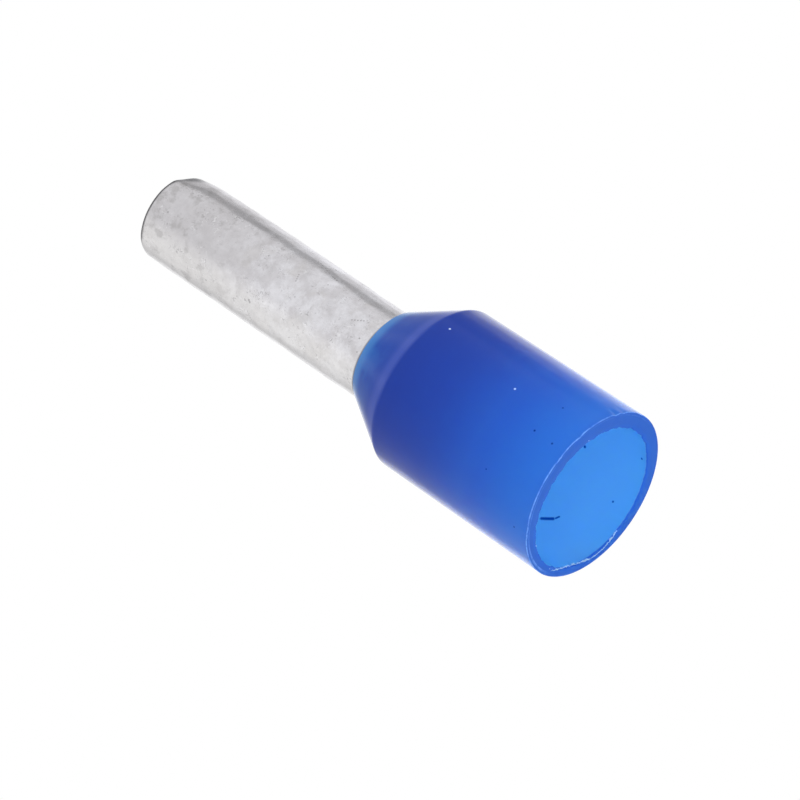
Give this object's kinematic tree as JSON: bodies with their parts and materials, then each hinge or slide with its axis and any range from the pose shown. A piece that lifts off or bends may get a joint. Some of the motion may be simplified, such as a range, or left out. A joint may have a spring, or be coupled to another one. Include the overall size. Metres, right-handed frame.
{
  "type": "insulated wire ferrule",
  "caption": "Wire ferrule: a thin tinned sleeve with a rolled tip, flared and held in a blue insulating collar with a cone, a shoulder and a wide round mouth for the wire.",
  "frame": {"origin": "centre of the mouth's face, on the axis, where the ferrule stands", "axes": "+Z along the axis, from the mouth of the collar to the tip of the sleeve"},
  "size_m": [0.0048, 0.0048, 0.0152],
  "materials": {
    "tinned_copper": "copper with a satin, slightly mottled tin plating",
    "blue_plastic": "glossy moulded polypropylene, slightly translucent"
  },
  "bodies": {
    "root": {"metal_sleeve": "tinned_copper", "insulating_collar": "blue_plastic"}
  },
  "joints": []
}
